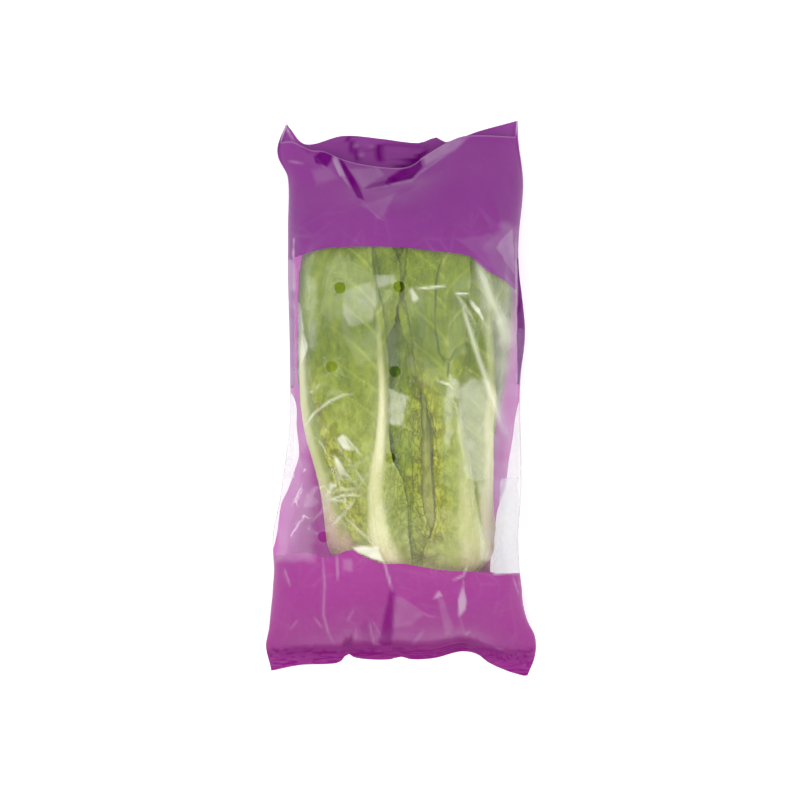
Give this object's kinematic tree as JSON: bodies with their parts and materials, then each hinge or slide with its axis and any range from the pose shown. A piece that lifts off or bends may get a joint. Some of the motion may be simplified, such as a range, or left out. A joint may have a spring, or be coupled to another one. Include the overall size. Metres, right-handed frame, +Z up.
{
  "type": "romaine lettuce head",
  "caption": "Head of romaine lettuce lying on its side in a printed clear produce sleeve, with overlapping ribbed leaves, a cut stem and an open sleeve mouth.",
  "frame": {"origin": "on the surface it lies on, under the middle of the whole object", "axes": "+Y from the cut stem towards the leaf tips and the sleeve's mouth, +X to the right seen from above with the tips away, +Z up"},
  "size_m": [0.187, 0.39, 0.1083],
  "materials": {
    "leaf": "semi-gloss green leaf, paler towards the ribs and the root",
    "core": "pale yellow-green, moist",
    "film": "thin glossy film, printed violet at both ends and clear between them"
  },
  "bodies": {
    "root": {"stem_and_heart": "core", "leaf_01": "leaf", "leaf_02": "leaf", "leaf_03": "leaf", "leaf_04": "leaf", "leaf_05": "leaf", "leaf_06": "leaf", "leaf_07": "leaf", "leaf_08": "leaf", "leaf_09": "leaf", "leaf_10": "leaf", "leaf_11": "leaf", "leaf_12": "leaf", "sleeve": "film"}
  },
  "joints": []
}
